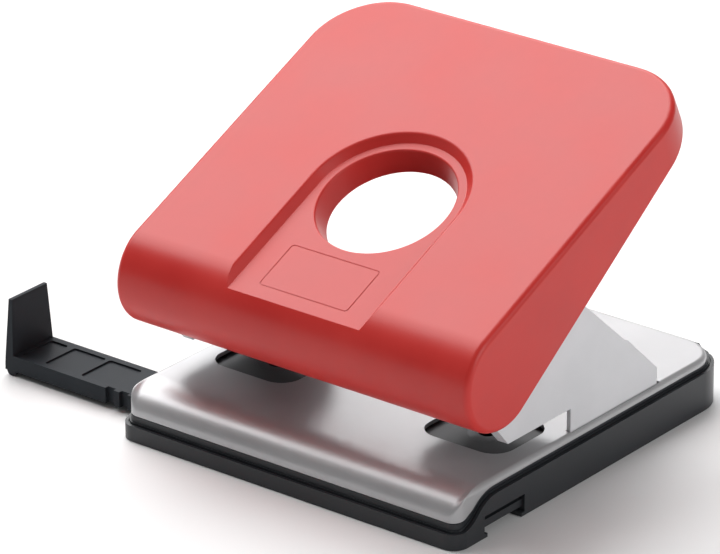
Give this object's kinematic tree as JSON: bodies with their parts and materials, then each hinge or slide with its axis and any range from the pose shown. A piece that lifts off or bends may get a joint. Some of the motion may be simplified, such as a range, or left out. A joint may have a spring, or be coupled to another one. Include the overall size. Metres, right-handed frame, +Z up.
{
  "type": "two-hole desk punch",
  "caption": "Desk paper punch with a raised lever cover, a rolled paper table, a hinged chip tray and a sliding paper guide.",
  "frame": {"origin": "on the desk, under the middle of the punch, halfway between the two punch pins in X", "axes": "+X to the right along the paper's edge, +Y to the back, away from the side where the paper goes in, +Z up"},
  "size_m": [0.1875, 0.138, 0.1097],
  "materials": {
    "tray_black": "satin moulded black plastic",
    "guide_black": "satin moulded black plastic",
    "foot_rubber": "matt black rubber",
    "table_silver": "silver metallic lacquer",
    "frame_grey": "light grey powder coat",
    "zinc_steel": "zinc-plated sheet steel",
    "bright_steel": "bright drawn steel",
    "hard_steel": "ground hardened steel",
    "cover_red": "satin moulded red plastic",
    "dark_steel": "blackened sheet steel"
  },
  "bodies": {
    "tray": {"base_tray": "tray_black", "rubber_feet": "foot_rubber", "tray_hinge_pins": "bright_steel", "guide_detent_spring": "bright_steel"},
    "guide": {"paper_guide": "guide_black"},
    "frame": {"paper_table": "table_silver", "chassis_plate": "dark_steel", "side_plate_right": "frame_grey", "side_plate_left": "frame_grey", "punch_bracket_right": "frame_grey", "punch_bracket_left": "frame_grey", "frame_rivets": "bright_steel", "die_bush_right": "hard_steel", "die_bush_left": "hard_steel", "pivot_axle": "bright_steel", "axle_clips": "hard_steel", "return_spring_right": "bright_steel", "return_spring_left": "bright_steel"},
    "lever": {"press_lever": "zinc_steel", "lever_cover": "cover_red", "cover_screws": "bright_steel"},
    "punch_right": {"punch_pin_right": "hard_steel", "spring_washer_right": "bright_steel"},
    "punch_left": {"punch_pin_left": "hard_steel", "spring_washer_left": "bright_steel"}
  },
  "joints": [
    {"name": "tray_hinge", "type": "hinge", "parent": "tray", "child": "frame", "pos_m": [0, 0.0697, 0.0131], "axis": [-1, 0, 0], "range_deg": [0, 80]},
    {"name": "lever_press", "type": "hinge", "parent": "frame", "child": "lever", "pos_m": [0, -0.048, 0.049], "axis": [-1, 0, 0], "range_deg": [0, 21], "stiffness_Nm_per_rad": 0.84, "springref_deg": -19.77},
    {"name": "punch_right_slide", "type": "slide", "parent": "frame", "child": "punch_right", "axis": [0, 0, -1], "range_m": [0, 0.0103], "deforming": ["return_spring_right"]},
    {"name": "punch_left_slide", "type": "slide", "parent": "frame", "child": "punch_left", "axis": [0, 0, -1], "range_m": [0, 0.0103], "deforming": ["return_spring_left"]},
    {"name": "guide_slide", "type": "slide", "parent": "tray", "child": "guide", "axis": [1, 0, 0], "range_m": [-0.0303, 0.0528]}
  ],
  "couplings": [
    {"joint": "punch_right_slide", "follows": "lever_press", "m_per_rad": 0.0281},
    {"joint": "punch_left_slide", "follows": "lever_press", "m_per_rad": 0.0281}
  ]
}
